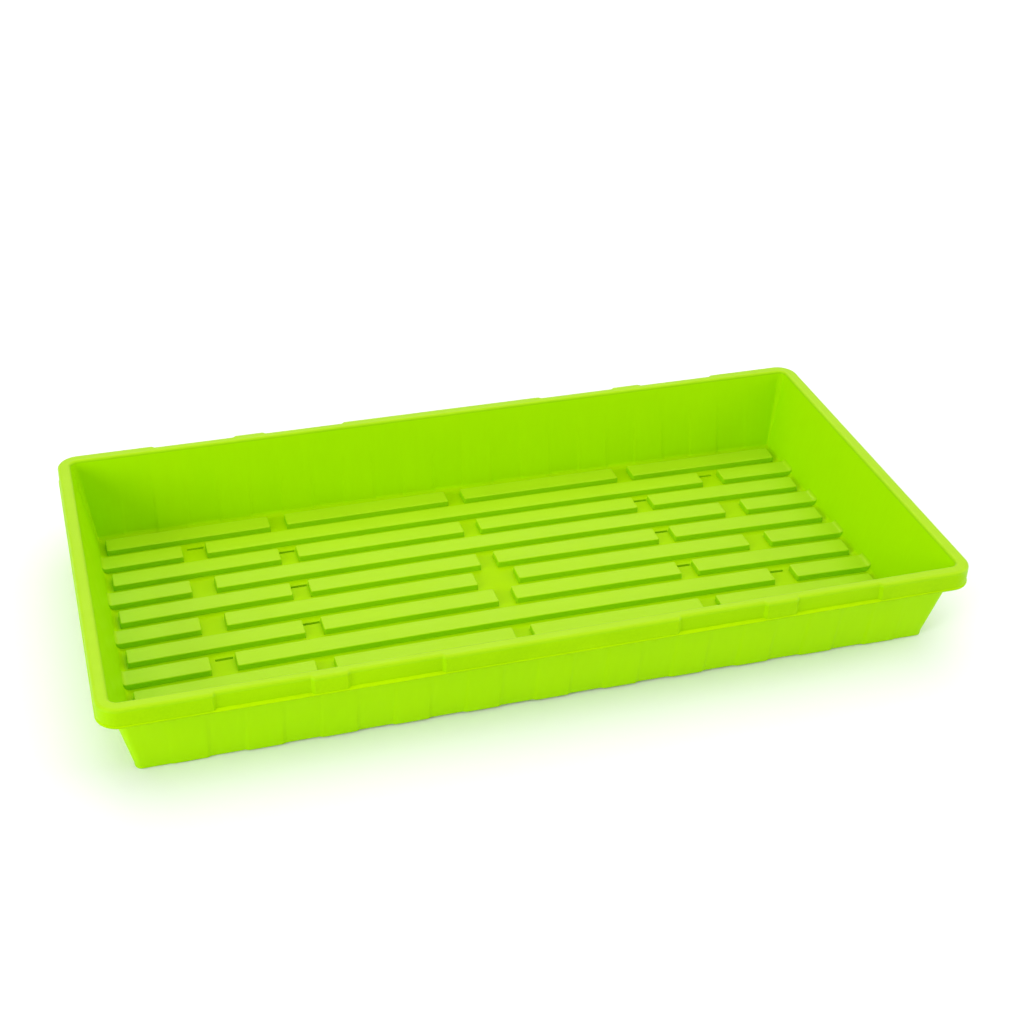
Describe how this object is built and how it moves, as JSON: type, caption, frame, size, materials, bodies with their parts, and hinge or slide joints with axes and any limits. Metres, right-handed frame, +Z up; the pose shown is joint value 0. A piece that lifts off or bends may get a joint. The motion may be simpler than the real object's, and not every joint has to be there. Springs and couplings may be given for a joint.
{
  "type": "nursery tray",
  "caption": "Shallow rectangular nursery tray with sloping fluted walls, a wide turned-down rim with grip recesses, and a slatted floor with drain slots.",
  "frame": {"origin": "centre of the tray on the surface it stands on", "axes": "+X along the tray's length, +Y across it towards the back, +Z up towards the open rim"},
  "size_m": [0.54, 0.28, 0.06],
  "materials": {
    "floor_and_walls": "satin lime-green polypropylene",
    "slats_and_rim": "satin lime-green polypropylene, the same moulding seen where the light strikes it",
    "skirt": "satin lime-green polypropylene"
  },
  "bodies": {
    "root": {"floor_panel": "floor_and_walls", "slat_row_01": "slats_and_rim", "slat_row_02": "slats_and_rim", "slat_row_03": "slats_and_rim", "slat_row_04": "slats_and_rim", "slat_row_05": "slats_and_rim", "slat_row_06": "slats_and_rim", "slat_row_07": "slats_and_rim", "slat_row_08": "slats_and_rim", "slat_row_09": "slats_and_rim", "slat_row_10": "slats_and_rim", "slat_row_11": "slats_and_rim", "wall_front": "floor_and_walls", "wall_back": "floor_and_walls", "wall_left": "floor_and_walls", "wall_right": "floor_and_walls", "wall_corners": "floor_and_walls", "rim_front": "slats_and_rim", "rim_back": "slats_and_rim", "rim_left": "slats_and_rim", "rim_right": "slats_and_rim", "rim_corners": "slats_and_rim", "skirt_front": "skirt", "skirt_back": "skirt", "skirt_left": "skirt", "skirt_right": "skirt", "skirt_corners": "skirt"}
  },
  "joints": []
}
